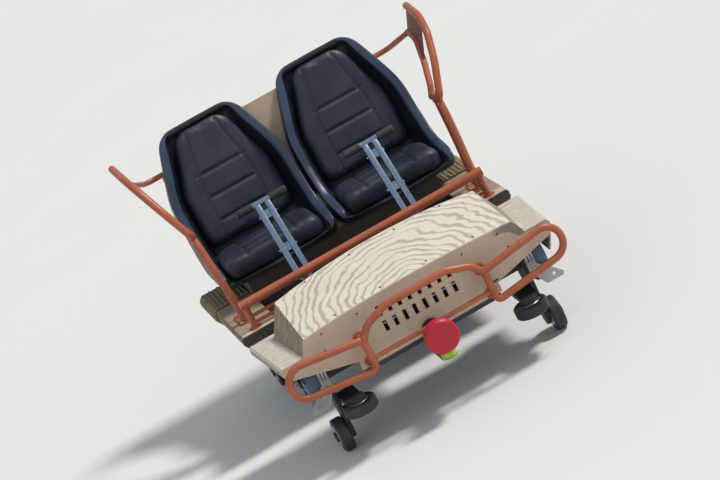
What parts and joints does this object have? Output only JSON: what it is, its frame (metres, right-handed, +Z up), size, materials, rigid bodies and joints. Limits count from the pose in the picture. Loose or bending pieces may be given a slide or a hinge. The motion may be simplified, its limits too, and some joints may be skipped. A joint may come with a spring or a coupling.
{
  "type": "roller coaster car",
  "caption": "Lead car of a family roller coaster: two-seat unit with lap bars, side frames and rear axle, steered nose unit with bumper, and road, guide and up-stop wheels.",
  "frame": {"origin": "on the floor under the middle of the car's length and width", "axes": "+X forward, +Y to the riders' left, +Z up; the car is mirror-symmetric about the XZ plane"},
  "size_m": [1.8409, 1.5418, 1.2777],
  "materials": {
    "orange_paint": "satin orange-brown paint on tube",
    "tan_panel": "satin tan paint on sheet",
    "grain_paint": "painted wood grain on sheet",
    "brown_panel": "matt brown paint on sheet",
    "rope": "sheet covered with rope-like wrapping",
    "dark_steel": "dark paint on welded steel",
    "bar_steel": "brushed",
    "seat_shell": "moulded shell",
    "seat_pad": "dark blue-black seat cover",
    "buffer_rubber": "red rubber",
    "road_tyre": "blue-grey urethane",
    "hub_metal": "cast",
    "small_wheel": "dark urethane"
  },
  "bodies": {
    "car": {"chassis": "dark_steel", "floor_pan": "dark_steel", "side_boxes": "brown_panel", "rope_blocks": "rope", "fence": "orange_paint", "side_frame_left": "orange_paint", "side_frame_right": "orange_paint", "seat_base": "brown_panel", "seat_shell_left": "seat_shell", "seat_shell_right": "seat_shell", "seat_pad_left": "seat_pad", "seat_pad_right": "seat_pad", "back_pad_left": "seat_pad", "back_pad_right": "seat_pad", "back_cover": "tan_panel", "back_bars": "orange_paint", "bar_brackets": "bar_steel", "rear_axle": "dark_steel"},
    "nose": {"nose_frame": "dark_steel", "nose_box": "grain_paint", "fenders": "grain_paint", "fascia": "tan_panel", "bumper": "orange_paint", "buffer_post": "dark_steel", "buffer_pad": "buffer_rubber", "front_axle": "dark_steel"},
    "lap_bar_left": {"lap_bar_left": "bar_steel"},
    "lap_bar_right": {"lap_bar_right": "bar_steel"},
    "wheel_front_left": {"tyre_front_left": "road_tyre", "hub_front_left": "hub_metal"},
    "guide_front_left": {"guide_front_left": "small_wheel"},
    "upstop_front_left": {"upstop_front_left": "small_wheel"},
    "wheel_front_right": {"tyre_front_right": "road_tyre", "hub_front_right": "hub_metal"},
    "guide_front_right": {"guide_front_right": "small_wheel"},
    "upstop_front_right": {"upstop_front_right": "small_wheel"},
    "wheel_rear_left": {"tyre_rear_left": "road_tyre", "hub_rear_left": "hub_metal"},
    "guide_rear_left": {"guide_rear_left": "small_wheel"},
    "upstop_rear_left": {"upstop_rear_left": "small_wheel"},
    "wheel_rear_right": {"tyre_rear_right": "road_tyre", "hub_rear_right": "hub_metal"},
    "guide_rear_right": {"guide_rear_right": "small_wheel"},
    "upstop_rear_right": {"upstop_rear_right": "small_wheel"}
  },
  "joints": [
    {"name": "nose_steer", "type": "hinge", "parent": "car", "child": "nose", "pos_m": [0.5965, 0, 0.41], "axis": [0, 0, 1], "range_deg": [-10, 10]},
    {"name": "lap_bar_left", "type": "hinge", "parent": "car", "child": "lap_bar_left", "pos_m": [-0.0115, 0.272, 0.49], "axis": [0, 1, 0], "range_deg": [-4, 40]},
    {"name": "lap_bar_right", "type": "hinge", "parent": "car", "child": "lap_bar_right", "pos_m": [-0.0115, -0.272, 0.49], "axis": [0, 1, 0], "range_deg": [-4, 40]},
    {"name": "wheel_front_left", "type": "hinge", "parent": "nose", "child": "wheel_front_left", "pos_m": [0.5965, 0.54, 0.36], "axis": [0, 1, 0], "continuous": true},
    {"name": "guide_front_left", "type": "hinge", "parent": "nose", "child": "guide_front_left", "pos_m": [0.7465, 0.413, 0.197], "axis": [0, 0, 1], "continuous": true},
    {"name": "upstop_front_left", "type": "hinge", "parent": "nose", "child": "upstop_front_left", "pos_m": [0.5965, 0.517, 0.075], "axis": [0, 1, 0], "continuous": true},
    {"name": "wheel_front_right", "type": "hinge", "parent": "nose", "child": "wheel_front_right", "pos_m": [0.5965, -0.54, 0.36], "axis": [0, 1, 0], "continuous": true},
    {"name": "guide_front_right", "type": "hinge", "parent": "nose", "child": "guide_front_right", "pos_m": [0.7465, -0.413, 0.197], "axis": [0, 0, 1], "continuous": true},
    {"name": "upstop_front_right", "type": "hinge", "parent": "nose", "child": "upstop_front_right", "pos_m": [0.5965, -0.517, 0.075], "axis": [0, 1, 0], "continuous": true},
    {"name": "wheel_rear_left", "type": "hinge", "parent": "car", "child": "wheel_rear_left", "pos_m": [-0.5905, 0.54, 0.36], "axis": [0, 1, 0], "continuous": true},
    {"name": "guide_rear_left", "type": "hinge", "parent": "car", "child": "guide_rear_left", "pos_m": [-0.7405, 0.413, 0.197], "axis": [0, 0, 1], "continuous": true},
    {"name": "upstop_rear_left", "type": "hinge", "parent": "car", "child": "upstop_rear_left", "pos_m": [-0.5905, 0.517, 0.075], "axis": [0, 1, 0], "continuous": true},
    {"name": "wheel_rear_right", "type": "hinge", "parent": "car", "child": "wheel_rear_right", "pos_m": [-0.5905, -0.54, 0.36], "axis": [0, 1, 0], "continuous": true},
    {"name": "guide_rear_right", "type": "hinge", "parent": "car", "child": "guide_rear_right", "pos_m": [-0.7405, -0.413, 0.197], "axis": [0, 0, 1], "continuous": true},
    {"name": "upstop_rear_right", "type": "hinge", "parent": "car", "child": "upstop_rear_right", "pos_m": [-0.5905, -0.517, 0.075], "axis": [0, 1, 0], "continuous": true}
  ]
}
